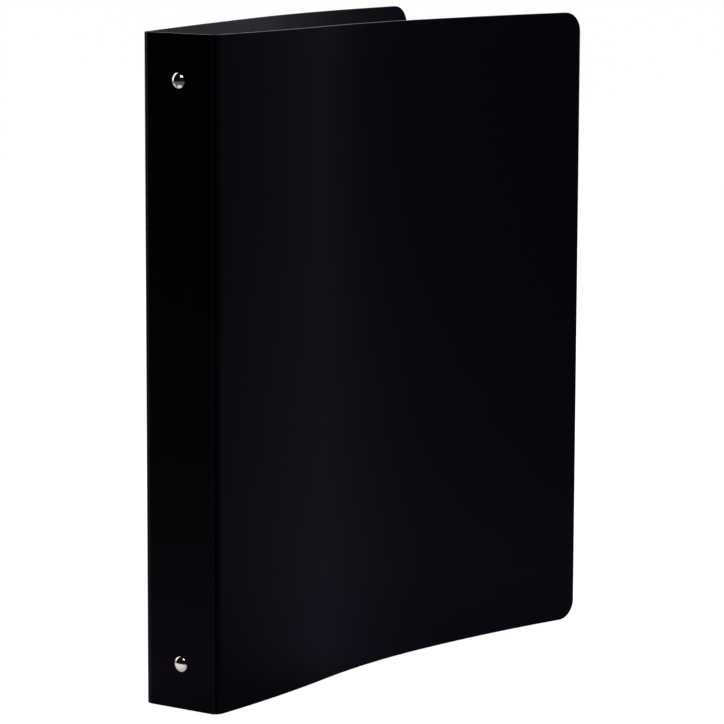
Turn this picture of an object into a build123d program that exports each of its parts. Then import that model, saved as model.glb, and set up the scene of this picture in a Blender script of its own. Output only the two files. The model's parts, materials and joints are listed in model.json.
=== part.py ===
from build123d import *
import os
from math import cos, radians, sin

# A three-ring binder standing upright, its two limp covers partly open.
# The outside is one polypropylene sheet, creased twice to make the spine.
# Frame: origin at the middle of the spine's bottom edge, half way through its thickness.
# +X runs from the back cover to the front cover, +Y from the spine towards the fore edges
# (so the inside is at +Y), and +Z is up. All sizes are in millimetres and degrees.

# Cover sheet
HEIGHT = 292.1
COVER_REACH = 254.0
SPINE_WIDTH = 38.1
SHEET = 1.1
CORNER_RADIUS = 9.0

# Living hinges: thin webs pressed into the sheet. Each one bends by a quarter turn when its
# cover is closed, and less when the cover leans outwards.
WEB = 0.5
WEB_LENGTH = 2.6
FRONT_LEAN = 3.1
BACK_LEAN = 15.2
WEB_START = SPINE_WIDTH / 2 - WEB_LENGTH / radians(90)

# Each cover is limp, so it stands in gentle bends: (share of its reach, outward turn).
FRONT_BENDS = ((0.31, -7.6), (0.28, 12.2), (0.41, 9.5))
BACK_BENDS = ((0.472, -3.4), (0.528, -16.4))

# Ring mechanism: three rings at the letter-size hole spacing
RING_SPACING = 107.95
RING_LEVELS = {
    "lower": HEIGHT / 2 - RING_SPACING,
    "middle": HEIGHT / 2,
    "upper": HEIGHT / 2 + RING_SPACING,
}
RING_RADIUS = 12.7
RING_CENTRE = 17.0
RING_SWEEP = 156.0
RING_TIP_GAP = 0.05
WIRE = 3.0
CRANK_RADIUS = 1.8
NECK = 2.0
STAKE = 2.8
STAKE_HEIGHT = 0.45

# Blades: two long plates that rock on their outer edges inside the housing. Shut, their
# meeting edges sit low, towards the spine.
BLADE = 0.9
BLADE_PIVOT = Vector(6.75, 3.2)
BLADE_LENGTH = 6.6
BLADE_TILT = 6.0
NOTCH_RADIUS = 3.4

# Housing: a sheet-metal channel over the blades, with lips curled in under their edges.
# At each end the lips stop and the sides come down as ears for the trigger's pin.
HOUSING_SHEET = 0.7
HOUSING_LENGTH = 274.1
EAR_LENGTH = 3.6
HOUSING_SIDE = 7.65
HOUSING_SHOULDER = 5.0
HOUSING_TOP = 6.2
HOUSING_FLAT = 3.6
LIP_HEIGHT = 2.1
LIP_END = 6.0
LIP_RADIUS = 0.65
SHOULDER_RADIUS = 2.0
CROWN_RADIUS = 4.0
EAR_FOOT = 0.85
SLOT_INNER = 2.9
SLOT_OUTER = 9.0
SLOT_FLOOR = 4.2
SLOT_WIDTH = 3.8

# Triggers: levers that rock on a pin and lift the blades where they meet
TRIGGER_PIVOT_Y = 2.2
TRIGGER_PIVOT_Z = 10.7
TRIGGER_HALF_WIDTH = 6.7
TRIGGER_PLATE = 1.0
TRIGGER_BARREL = 1.4
TRIGGER_RUN = 2.9
TRIGGER_RISE = 7.7
TRIGGER_REACH = 5.6
TRIGGER_BEND = 1.4
THUMB_CORNER = 2.2
TONGUE_LENGTH = 5.3
TONGUE_TOP = 1.95
TONGUE_PLATE = 0.8
TONGUE_HALF_WIDTH = 1.6
PIN_RADIUS = 0.8
PIN_LENGTH = 16.6
PIN_PLAY = 0.05

# Rivets: they clamp the housing to the spine over a spacer post
RIVET_INSET = 19.9
RIVET_LEVELS = {"bottom": RIVET_INSET, "top": HEIGHT - RIVET_INSET}
RIVET_HEAD_RADIUS = 3.5
RIVET_HEAD_HEIGHT = 1.8
RIVET_RIM = 0.35
SHANK_RADIUS = 2.0
SHANK_PLAY = 0.05
RIVET_BORE = 1.2
TAIL_RADIUS = 2.9
TAIL_HEIGHT = 0.8
POST_RADIUS = 3.0

# Worked-out levels, measured along +Y from the middle of the spine's thickness
INSIDE_FACE = SHEET / 2
OUTSIDE_FACE = -SHEET / 2
HOUSING_CEILING = HOUSING_TOP - HOUSING_SHEET / 2
HOUSING_ROOF = HOUSING_TOP + HOUSING_SHEET / 2
HOUSING_START = (HEIGHT - HOUSING_LENGTH) / 2
LIP_START = HOUSING_START + EAR_LENGTH
LIP_LENGTH = HOUSING_LENGTH - 2 * EAR_LENGTH
BLADE_ALONG = Vector(-cos(radians(BLADE_TILT)), -sin(radians(BLADE_TILT)))
BLADE_UP = Vector(-sin(radians(BLADE_TILT)), cos(radians(BLADE_TILT)))
MID_HEIGHT = Plane.XY.offset(HEIGHT / 2)
TRIGGER_PIVOT = (TRIGGER_PIVOT_Y, TRIGGER_PIVOT_Z)


def web_radius(lean):
    """Bend radius of a living hinge whose cover leans out by this many degrees."""
    return WEB_LENGTH / radians(90 - lean)


def cover_root(lean, side):
    """Where a cover starts, past its living hinge. side is 1 for the front, -1 for the back."""
    radius = web_radius(lean)
    across = WEB_START + radius * cos(radians(lean))
    return Vector(side * across, radius * (1 - sin(radians(lean))))


def make_living_hinge(lean, side):
    """Thin web from the spine's edge round to the cover's edge."""
    with BuildPart() as hinge:
        with BuildSketch(Plane.XY):
            with BuildLine():
                JernArc((side * WEB_START, 0), (side, 0), web_radius(lean), side * (90 - lean))
            trace(line_width=WEB)
        extrude(amount=HEIGHT)
    return hinge


def make_cover(lean, side, bends):
    """Cover sheet, bent about upright axes, with its two fore-edge corners rounded."""
    with BuildPart() as cover:
        with BuildSketch(Plane.XY):
            with BuildLine():
                point = cover_root(lean, side)
                heading = lean
                for share, turn in bends:
                    tangent = (side * sin(radians(heading)), cos(radians(heading)))
                    bend_radius = share * COVER_REACH / radians(abs(turn))
                    bend = JernArc(point, tangent, bend_radius, -side * turn)
                    point = bend @ 1
                    heading += turn
            trace(line_width=SHEET)
        extrude(amount=HEIGHT)
        fore_edge = cover.faces().sort_by(Axis.Y)[-1]
        corners = fore_edge.edges().group_by(Axis.Z)
        fillet(corners[0] + corners[-1], radius=CORNER_RADIUS)
    return cover


def ring_path(level):
    """Centreline of a front half ring, from its tip down to the top of the blade."""
    with BuildLine() as path:
        tip = (RING_TIP_GAP, RING_CENTRE + RING_RADIUS, level)
        bow = JernArc(tip, (1, 0), RING_RADIUS, -RING_SWEEP)
        crank = JernArc(bow @ 1, bow % 1, CRANK_RADIUS, RING_SWEEP - 90 + BLADE_TILT)
        drop = (crank @ 1 - BLADE_PIVOT).dot(BLADE_UP) - BLADE / 2
        Line(crank @ 1, crank @ 1 - BLADE_UP * drop)
    return path.line


def make_half_ring(level):
    """Front half of a ring: a bowed wire with a crank and a neck staked through the blade."""
    path = ring_path(level)
    foot = path @ 1
    with BuildPart() as half_ring:
        with BuildSketch(Plane(path @ 0, z_dir=path % 0)):
            Circle(WIRE / 2)
        sweep(path=path)
        with BuildSketch(Plane(foot, z_dir=-BLADE_UP)):
            Circle(NECK / 2)
        extrude(amount=BLADE)
        with BuildSketch(Plane(foot - BLADE_UP * BLADE, z_dir=-BLADE_UP)):
            Circle(STAKE / 2)
        extrude(amount=STAKE_HEIGHT, taper=20)
    return half_ring


def make_blade():
    """Front blade: a long strip with a round rocking edge, ring holes and rivet notches."""
    along = Plane(BLADE_PIVOT + Vector(0, 0, LIP_START), x_dir=BLADE_ALONG, z_dir=(0, 0, 1))
    with BuildPart() as blade:
        with BuildSketch(along):
            with Locations((BLADE_LENGTH / 2, 0)):
                Rectangle(BLADE_LENGTH, BLADE)
            Circle(BLADE / 2)
        extrude(amount=LIP_LENGTH)
        for level in RING_LEVELS.values():
            foot = ring_path(level) @ 1
            with BuildSketch(Plane(foot, z_dir=-BLADE_UP)):
                Circle(NECK / 2)
            extrude(amount=BLADE, mode=Mode.SUBTRACT)
        with BuildSketch(Plane.XZ):
            with Locations(*[(0, level) for level in RIVET_LEVELS.values()]):
                Circle(NOTCH_RADIUS)
        extrude(amount=-HOUSING_ROOF, mode=Mode.SUBTRACT)
    return blade


def housing_side(inner):
    """Corner points of the housing's front side, from its lower end to the flat of its top."""
    return inner + [(HOUSING_SIDE, HOUSING_SHOULDER), (HOUSING_FLAT, HOUSING_TOP)]


def make_housing():
    """Sheet-metal channel with curled lips, ring slots, rivet holes and pin ears."""
    lipped = housing_side([(LIP_END, LIP_HEIGHT), (HOUSING_SIDE, LIP_HEIGHT)])
    eared = housing_side([(HOUSING_SIDE, EAR_FOOT)])
    lipped_radii = [LIP_RADIUS, SHOULDER_RADIUS, CROWN_RADIUS]
    eared_radii = [SHOULDER_RADIUS, CROWN_RADIUS]
    stretches = (
        (HOUSING_START, EAR_LENGTH, eared, eared_radii),
        (LIP_START, LIP_LENGTH, lipped, lipped_radii),
        (LIP_START + LIP_LENGTH, EAR_LENGTH, eared, eared_radii),
    )
    with BuildPart() as housing:
        for start, length, side, radii in stretches:
            other_side = [(-x, y) for x, y in reversed(side)]
            with BuildSketch(Plane.XY.offset(start)):
                with BuildLine():
                    FilletPolyline(*side, *other_side, radius=radii + radii[::-1])
                trace(line_width=HOUSING_SHEET)
            extrude(amount=length)
        for level in RING_LEVELS.values():
            with Locations((SLOT_INNER, SLOT_FLOOR, level), (-SLOT_OUTER, SLOT_FLOOR, level)):
                Box(
                    SLOT_OUTER - SLOT_INNER,
                    HOUSING_ROOF,
                    SLOT_WIDTH,
                    align=(Align.MIN, Align.MIN, Align.CENTER),
                    mode=Mode.SUBTRACT,
                )
        with BuildSketch(Plane.XZ):
            with Locations(*[(0, level) for level in RIVET_LEVELS.values()]):
                Circle(SHANK_RADIUS + SHANK_PLAY)
        extrude(amount=-2 * HOUSING_ROOF, mode=Mode.SUBTRACT)
        with BuildSketch(Plane.YZ):
            with Locations(TRIGGER_PIVOT, (TRIGGER_PIVOT_Y, HEIGHT - TRIGGER_PIVOT_Z)):
                Circle(PIN_RADIUS)
        extrude(amount=PIN_LENGTH, both=True, mode=Mode.SUBTRACT)
    return housing


def make_trigger():
    """Lower trigger: a barrel on the pin, a thumb plate outside and a tongue under the blades."""
    pivot = Vector(TRIGGER_PIVOT_Y, TRIGGER_PIVOT_Z)
    run_end = pivot - Vector(0, TRIGGER_RUN)
    tip = pivot + Vector(TRIGGER_RISE, -TRIGGER_REACH)
    with BuildPart() as trigger:
        with BuildSketch(Plane.YZ):
            with BuildLine():
                FilletPolyline(pivot, run_end, tip, radius=TRIGGER_BEND)
            trace(line_width=TRIGGER_PLATE)
            with Locations(pivot):
                Circle(TRIGGER_BARREL)
        extrude(amount=TRIGGER_HALF_WIDTH, both=True)
        thumb_edges = trigger.faces().sort_by(Axis.Y)[-1].edges()
        thumb_corners = thumb_edges.group_by(Axis.X)
        fillet(thumb_corners[0] + thumb_corners[-1], radius=THUMB_CORNER)
        with BuildSketch(Plane.YZ):
            with Locations((TONGUE_TOP, TRIGGER_PIVOT_Z)):
                Rectangle(TONGUE_PLATE, TONGUE_LENGTH, align=(Align.MAX, Align.MIN))
        extrude(amount=TONGUE_HALF_WIDTH, both=True)
        with BuildSketch(Plane.YZ):
            with Locations(pivot):
                Circle(PIN_RADIUS + PIN_PLAY)
        extrude(amount=PIN_LENGTH, both=True, mode=Mode.SUBTRACT)
    return trigger


def make_pin():
    """Lower trigger pin, held in the housing's ears."""
    with BuildPart() as pin:
        with BuildSketch(Plane.YZ):
            with Locations(TRIGGER_PIVOT):
                Circle(PIN_RADIUS)
        extrude(amount=PIN_LENGTH / 2, both=True)
    return pin


def make_rivet(level):
    """Tubular rivet: a domed head outside the spine and a rolled tail on the housing."""
    dome_edge = OUTSIDE_FACE - RIVET_RIM
    dome_top = OUTSIDE_FACE - RIVET_HEAD_HEIGHT
    tail_top = HOUSING_ROOF + TAIL_HEIGHT
    tail_middle = (TAIL_RADIUS, HOUSING_ROOF + TAIL_HEIGHT / 3)
    with BuildPart() as rivet:
        with BuildSketch(Plane.XY.offset(level)):
            with BuildLine():
                TangentArc((0, dome_top), (RIVET_HEAD_RADIUS, dome_edge), tangent=(1, 0))
                Polyline(
                    (RIVET_HEAD_RADIUS, dome_edge),
                    (RIVET_HEAD_RADIUS, OUTSIDE_FACE),
                    (SHANK_RADIUS, OUTSIDE_FACE),
                    (SHANK_RADIUS, HOUSING_ROOF),
                    (TAIL_RADIUS, HOUSING_ROOF),
                    tail_middle,
                )
                ThreePointArc(
                    tail_middle,
                    ((TAIL_RADIUS + RIVET_BORE) / 2, tail_top),
                    (RIVET_BORE, HOUSING_ROOF + TAIL_HEIGHT / 2),
                )
                Polyline(
                    (RIVET_BORE, HOUSING_ROOF + TAIL_HEIGHT / 2),
                    (RIVET_BORE, INSIDE_FACE),
                    (0, INSIDE_FACE),
                    (0, dome_top),
                )
            make_face()
        revolve(axis=Axis((0, 0, level), (0, 1, 0)))
    return rivet


def make_post(level):
    """Spacer tube round a rivet, between the spine and the housing."""
    with BuildPart() as post:
        with BuildSketch(Plane.XZ.offset(-INSIDE_FACE)):
            with Locations((0, level)):
                Circle(POST_RADIUS)
                Circle(SHANK_RADIUS + SHANK_PLAY, mode=Mode.SUBTRACT)
        extrude(amount=INSIDE_FACE - HOUSING_CEILING)
    return post


os.makedirs("parts", exist_ok=True)

# Spine panel
with BuildPart() as spine_panel:
    with BuildSketch(Plane.XY):
        Rectangle(2 * WEB_START, SHEET)
    extrude(amount=HEIGHT)
    with BuildSketch(Plane.XZ):
        with Locations(*[(0, level) for level in RIVET_LEVELS.values()]):
            Circle(SHANK_RADIUS + SHANK_PLAY)
    extrude(amount=SHEET, both=True, mode=Mode.SUBTRACT)
spine_panel.part.label = "spine_panel"
export_step(spine_panel.part, "parts/spine_panel.step")

# Covers and the living hinges that join them to the spine
for side_name, side, lean, bends in (
    ("front", 1, FRONT_LEAN, FRONT_BENDS),
    ("back", -1, BACK_LEAN, BACK_BENDS),
):
    living_hinge = make_living_hinge(lean, side)
    living_hinge.part.label = f"{side_name}_living_hinge"
    export_step(living_hinge.part, f"parts/{side_name}_living_hinge.step")
    cover = make_cover(lean, side, bends)
    cover.part.label = f"{side_name}_cover"
    export_step(cover.part, f"parts/{side_name}_cover.step")

# Housing
ring_housing = make_housing()
ring_housing.part.label = "ring_housing"
export_step(ring_housing.part, "parts/ring_housing.step")

# Blades: the back one is the front one mirrored
front_blade = make_blade()
front_blade.part.label = "front_blade"
export_step(front_blade.part, "parts/front_blade.step")
with BuildPart() as back_blade:
    mirror(front_blade.part, about=Plane.YZ)
back_blade.part.label = "back_blade"
export_step(back_blade.part, "parts/back_blade.step")

# Half rings: three at the front, and their mirror images at the back
for level_name, level in RING_LEVELS.items():
    front_half = make_half_ring(level)
    front_half.part.label = f"{level_name}_front_half_ring"
    export_step(front_half.part, f"parts/{level_name}_front_half_ring.step")
    with BuildPart() as back_half:
        mirror(front_half.part, about=Plane.YZ)
    back_half.part.label = f"{level_name}_back_half_ring"
    export_step(back_half.part, f"parts/{level_name}_back_half_ring.step")

# Triggers and their pins: the upper ones are the lower ones mirrored
lower_trigger = make_trigger()
lower_trigger.part.label = "lower_trigger"
export_step(lower_trigger.part, "parts/lower_trigger.step")
with BuildPart() as upper_trigger:
    mirror(lower_trigger.part, about=MID_HEIGHT)
upper_trigger.part.label = "upper_trigger"
export_step(upper_trigger.part, "parts/upper_trigger.step")
lower_pin = make_pin()
lower_pin.part.label = "lower_trigger_pin"
export_step(lower_pin.part, "parts/lower_trigger_pin.step")
with BuildPart() as upper_pin:
    mirror(lower_pin.part, about=MID_HEIGHT)
upper_pin.part.label = "upper_trigger_pin"
export_step(upper_pin.part, "parts/upper_trigger_pin.step")

# Rivets and their spacer posts
for level_name, level in RIVET_LEVELS.items():
    rivet = make_rivet(level)
    rivet.part.label = f"{level_name}_rivet"
    export_step(rivet.part, f"parts/{level_name}_rivet.step")
    post = make_post(level)
    post.part.label = f"{level_name}_rivet_post"
    export_step(post.part, f"parts/{level_name}_rivet_post.step")
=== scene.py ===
"""A limp three-ring binder standing upright: its sheet cover, its ring mechanism and the studio round it.

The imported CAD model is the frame. Positions come from it, and every length here is in metres.
"""

import json
import logging
import math
from dataclasses import dataclass
from enum import Enum
from typing import Callable, Sequence

import bmesh
import bpy
from mathutils import Matrix, Vector

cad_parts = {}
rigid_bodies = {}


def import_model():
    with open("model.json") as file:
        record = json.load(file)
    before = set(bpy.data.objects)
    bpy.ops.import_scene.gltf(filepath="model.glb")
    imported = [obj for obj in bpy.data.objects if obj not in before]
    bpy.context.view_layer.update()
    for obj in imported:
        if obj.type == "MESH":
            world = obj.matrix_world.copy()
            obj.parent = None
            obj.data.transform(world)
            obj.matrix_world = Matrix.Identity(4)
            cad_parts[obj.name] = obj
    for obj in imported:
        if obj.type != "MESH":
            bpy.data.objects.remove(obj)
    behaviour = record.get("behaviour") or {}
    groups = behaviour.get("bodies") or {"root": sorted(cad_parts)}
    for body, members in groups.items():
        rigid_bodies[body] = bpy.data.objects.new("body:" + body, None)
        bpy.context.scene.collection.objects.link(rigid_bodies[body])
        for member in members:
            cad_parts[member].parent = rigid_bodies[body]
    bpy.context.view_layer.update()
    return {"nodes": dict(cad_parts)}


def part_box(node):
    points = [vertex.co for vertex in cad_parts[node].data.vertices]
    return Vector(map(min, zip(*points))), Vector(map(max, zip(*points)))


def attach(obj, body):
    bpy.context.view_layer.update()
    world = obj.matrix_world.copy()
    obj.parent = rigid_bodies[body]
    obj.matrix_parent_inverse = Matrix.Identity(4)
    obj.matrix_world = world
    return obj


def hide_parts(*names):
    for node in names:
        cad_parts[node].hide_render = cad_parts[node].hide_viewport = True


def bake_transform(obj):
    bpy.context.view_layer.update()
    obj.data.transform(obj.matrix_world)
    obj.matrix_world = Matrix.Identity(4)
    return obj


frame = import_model()
LOG = logging.getLogger("ring_binder")
MM = 0.001

Place = Callable[[float, float, float], Vector]
Reach = Callable[[float], float]


class Side(Enum):
    """The two halves of the binder. The value is the sign of X."""

    FRONT = 1
    BACK = -1


class Level(Enum):
    """The three heights at which the binder has a ring."""

    LOWER = "lower"
    MIDDLE = "middle"
    UPPER = "upper"


class End(Enum):
    """The two ends of the ring mechanism."""

    LOWER = "lower"
    UPPER = "upper"


# ---------------------------------------------------------------------------------------------
# Finishes
# ---------------------------------------------------------------------------------------------


class ShaderBench:
    """Lays out the shader nodes of one material."""

    def __init__(self, name: str) -> None:
        """Start a material with one Principled shader.

        Args:
            name: the material's name.
        """
        self.material = bpy.data.materials.new(name)
        self.material.use_nodes = True
        self.tree = self.material.node_tree
        self.shader = self.tree.nodes["Principled BSDF"]
        self.place = self.add("ShaderNodeTexCoord").outputs["Object"]

    def add(self, kind: str, **settings: object) -> bpy.types.Node:
        """Add a node.

        Args:
            kind: the node's type name.
            settings: node properties to set.

        Returns:
            The new node.
        """
        node = self.tree.nodes.new(kind)
        for key, value in settings.items():
            setattr(node, key, value)
        return node

    def stretch(self, scale: Sequence[float]) -> bpy.types.NodeSocket:
        """Scale the object coordinates.

        Args:
            scale: the factor along X, Y and Z.

        Returns:
            The scaled coordinates.
        """
        node = self.add("ShaderNodeMapping")
        node.inputs["Scale"].default_value = tuple(scale)
        self.tree.links.new(self.place, node.inputs["Vector"])
        return node.outputs["Vector"]

    def noise(
        self,
        scale: float,
        detail: float = 2.0,
        rough: float = 0.5,
        place: bpy.types.NodeSocket | None = None,
    ) -> bpy.types.NodeSocket:
        """Add a noise texture.

        Args:
            scale: features per metre.
            detail: how many finer layers it has.
            rough: how strong the finer layers are.
            place: its coordinates, or None for the object's own.

        Returns:
            The noise value.
        """
        node = self.add("ShaderNodeTexNoise")
        node.inputs["Scale"].default_value = scale
        node.inputs["Detail"].default_value = detail
        node.inputs["Roughness"].default_value = rough
        self.tree.links.new(place or self.place, node.inputs["Vector"])
        return node.outputs["Fac"]

    def span(
        self,
        value: bpy.types.NodeSocket,
        source: tuple[float, float],
        target: tuple[float, float],
    ) -> bpy.types.NodeSocket:
        """Map a value from one range to another, held at both ends.

        Args:
            value: the value to map.
            source: the range it comes in.
            target: the range it goes to.

        Returns:
            The mapped value.
        """
        node = self.add("ShaderNodeMapRange")
        node.inputs["From Min"].default_value = source[0]
        node.inputs["From Max"].default_value = source[1]
        node.inputs["To Min"].default_value = target[0]
        node.inputs["To Max"].default_value = target[1]
        self.tree.links.new(value, node.inputs["Value"])
        return node.outputs["Result"]

    def sum(self, first: bpy.types.NodeSocket, second: bpy.types.NodeSocket) -> bpy.types.NodeSocket:
        """Add two values."""
        node = self.add("ShaderNodeMath", operation="ADD")
        self.tree.links.new(first, node.inputs[0])
        self.tree.links.new(second, node.inputs[1])
        return node.outputs[0]

    def tint(
        self,
        value: bpy.types.NodeSocket,
        dark: Sequence[float],
        light: Sequence[float],
    ) -> None:
        """Colour the shader between two tones.

        Args:
            value: 0 for the dark tone and 1 for the light one.
            dark: the colour at 0.
            light: the colour at 1.
        """
        node = self.add("ShaderNodeMix", data_type="RGBA")
        node.inputs[6].default_value = (*dark, 1.0)
        node.inputs[7].default_value = (*light, 1.0)
        self.tree.links.new(value, node.inputs["Factor"])
        self.tree.links.new(node.outputs[2], self.shader.inputs["Base Color"])

    def relief(self, layers: Sequence[tuple[bpy.types.NodeSocket, float]]) -> None:
        """Stack bumps, each on the one before.

        Args:
            layers: each bump's height value and how far it stands out, in metres.
        """
        normal = None
        for height, distance in layers:
            bump = self.add("ShaderNodeBump")
            bump.inputs["Strength"].default_value = 1.0
            bump.inputs["Distance"].default_value = distance
            self.tree.links.new(height, bump.inputs["Height"])
            if normal is not None:
                self.tree.links.new(normal, bump.inputs["Normal"])
            normal = bump.outputs["Normal"]
        self.tree.links.new(normal, self.shader.inputs["Normal"])

    def roughness(self, value: bpy.types.NodeSocket) -> None:
        """Drive the shader's roughness."""
        self.tree.links.new(value, self.shader.inputs["Roughness"])


@dataclass(frozen=True)
class PolySheet:
    """Satin black polypropylene sheet: fine matt grain, faint drawing streaks and light scuffs."""

    name: str = "satin_black_sheet"
    dark: tuple[float, float, float] = (0.0010, 0.0008, 0.0014)
    light: tuple[float, float, float] = (0.0018, 0.0014, 0.0024)
    gloss_tint: tuple[float, float, float] = (0.78, 0.64, 1.0)
    gloss_level: float = 0.05
    smooth: float = 0.385
    matt: float = 0.435
    grain_per_m: float = 2300.0
    grain_height: float = 0.012 * MM
    peel_per_m: float = 260.0
    peel_height: float = 0.010 * MM

    def make(self) -> bpy.types.Material:
        """Build the material.

        Returns:
            The finished material.
        """
        bench = ShaderBench(self.name)
        bench.shader.inputs["Specular IOR Level"].default_value = self.gloss_level
        bench.shader.inputs["Specular Tint"].default_value = (*self.gloss_tint, 1.0)
        cloud = bench.noise(14.0, detail=3.0)
        bench.tint(cloud, self.dark, self.light)
        streaks = bench.noise(1.0, detail=3.0, place=bench.stretch((260.0, 260.0, 70.0)))
        grain = bench.noise(self.grain_per_m, detail=2.0)
        peel = bench.noise(self.peel_per_m, detail=1.0)
        scuffs = bench.noise(1.0, detail=4.0, rough=0.65, place=bench.stretch((90.0, 90.0, 900.0)))
        wear = bench.span(scuffs, (0.62, 0.80), (0.0, 0.05))
        base = bench.span(streaks, (0.3, 0.7), (self.smooth, self.matt))
        bench.roughness(bench.sum(base, wear))
        bench.relief([(peel, self.peel_height), (grain, self.grain_height)])
        return bench.material


@dataclass(frozen=True)
class CutEdge:
    """The die-cut edge of the sheet, a little paler and rougher than its faces."""

    name: str = "die_cut_sheet_edge"
    dark: tuple[float, float, float] = (0.006, 0.005, 0.008)
    light: tuple[float, float, float] = (0.018, 0.016, 0.022)

    def make(self) -> bpy.types.Material:
        """Build the material.

        Returns:
            The finished material.
        """
        bench = ShaderBench(self.name)
        bench.shader.inputs["Specular IOR Level"].default_value = 0.22
        drag = bench.noise(1.0, detail=3.0, place=bench.stretch((2600.0, 2600.0, 600.0)))
        bench.tint(bench.span(drag, (0.35, 0.7), (0.0, 1.0)), self.dark, self.light)
        bench.roughness(bench.span(drag, (0.3, 0.7), (0.42, 0.62)))
        bench.relief([(drag, 0.02 * MM)])
        return bench.material


@dataclass(frozen=True)
class NickelPlate:
    """Bright nickel plate, with fine polishing marks and a little clouding."""

    name: str = "bright_nickel"
    dark: tuple[float, float, float] = (0.66, 0.64, 0.60)
    light: tuple[float, float, float] = (0.80, 0.78, 0.74)
    smooth: float = 0.10
    clouded: float = 0.22
    marks: tuple[float, float, float] = (1500.0, 1500.0, 60.0)
    mark_height: float = 0.002 * MM

    def make(self) -> bpy.types.Material:
        """Build the material.

        Returns:
            The finished material.
        """
        bench = ShaderBench(self.name)
        bench.shader.inputs["Metallic"].default_value = 1.0
        cloud = bench.noise(120.0, detail=4.0, rough=0.6)
        marks = bench.noise(1.0, detail=4.0, place=bench.stretch(self.marks))
        bench.tint(cloud, self.dark, self.light)
        bench.roughness(bench.span(bench.sum(cloud, marks), (0.75, 1.3), (self.smooth, self.clouded)))
        bench.relief([(marks, self.mark_height)])
        return bench.material


@dataclass(frozen=True)
class ZincSteel:
    """Rolled zinc-plated steel for the parts that stay out of sight: duller, with a faint spangle."""

    name: str = "zinc_steel"
    dark: tuple[float, float, float] = (0.36, 0.37, 0.38)
    light: tuple[float, float, float] = (0.55, 0.56, 0.56)

    def make(self) -> bpy.types.Material:
        """Build the material.

        Returns:
            The finished material.
        """
        bench = ShaderBench(self.name)
        bench.shader.inputs["Metallic"].default_value = 1.0
        spangle = bench.add("ShaderNodeTexVoronoi")
        spangle.inputs["Scale"].default_value = 420.0
        bench.tree.links.new(bench.place, spangle.inputs["Vector"])
        rolling = bench.noise(1.0, detail=4.0, place=bench.stretch((1400.0, 1400.0, 30.0)))
        bench.tint(spangle.outputs["Distance"], self.dark, self.light)
        bench.roughness(bench.span(rolling, (0.3, 0.7), (0.30, 0.48)))
        bench.relief([(rolling, 0.003 * MM)])
        return bench.material


@dataclass(frozen=True)
class FinishSet:
    """Every finish on the binder."""

    sheet: bpy.types.Material
    cut_edge: bpy.types.Material
    plate: bpy.types.Material
    rivet: bpy.types.Material
    steel: bpy.types.Material

    @classmethod
    def mix(cls) -> "FinishSet":
        """Make all the materials.

        Returns:
            The set of finished materials.
        """
        return cls(
            sheet=PolySheet().make(),
            cut_edge=CutEdge().make(),
            plate=NickelPlate().make(),
            rivet=NickelPlate(
                name="polished_rivet",
                dark=(0.80, 0.77, 0.70),
                light=(0.92, 0.90, 0.84),
                smooth=0.05,
                clouded=0.12,
                marks=(700.0, 700.0, 700.0),
                mark_height=0.0015 * MM,
            ).make(),
            steel=ZincSteel().make(),
        )


# ---------------------------------------------------------------------------------------------
# Lines and meshes
# ---------------------------------------------------------------------------------------------


@dataclass(frozen=True)
class BentLine:
    """A line in the X-Y plane, made of bends that run on from each other.

    Headings are radians from +Y, turning towards +X. On the back side, X is mirrored.
    """

    start: tuple[float, float]
    heading: float
    bends: tuple[tuple[float, float], ...]
    side: Side = Side.FRONT

    @property
    def length(self) -> float:
        """The whole length of the line."""
        return sum(length for length, _ in self.bends)

    def at(self, distance: float) -> tuple[Vector, Vector, Vector]:
        """Find a place on the line. Past either end it runs on straight.

        Args:
            distance: how far along the line.

        Returns:
            The point, the way along, and the way out (to the right of the way along, mirrored
            on the back side).
        """
        x, y = self.start
        heading = self.heading
        left = distance
        if left > 0:
            for length, turn in self.bends:
                step = min(left, length)
                curve = turn / length
                after = heading + curve * step
                if abs(turn) < 1e-9:
                    x += step * math.sin(heading)
                    y += step * math.cos(heading)
                else:
                    x += (math.cos(heading) - math.cos(after)) / curve
                    y += (math.sin(after) - math.sin(heading)) / curve
                heading = after
                left -= step
                if left <= 0:
                    break
        x += left * math.sin(heading)
        y += left * math.cos(heading)
        sign = self.side.value
        along = Vector((sign * math.sin(heading), math.cos(heading), 0.0))
        out = Vector((sign * math.cos(heading), -math.sin(heading), 0.0))
        return Vector((sign * x, y, 0.0)), along, out


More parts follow.
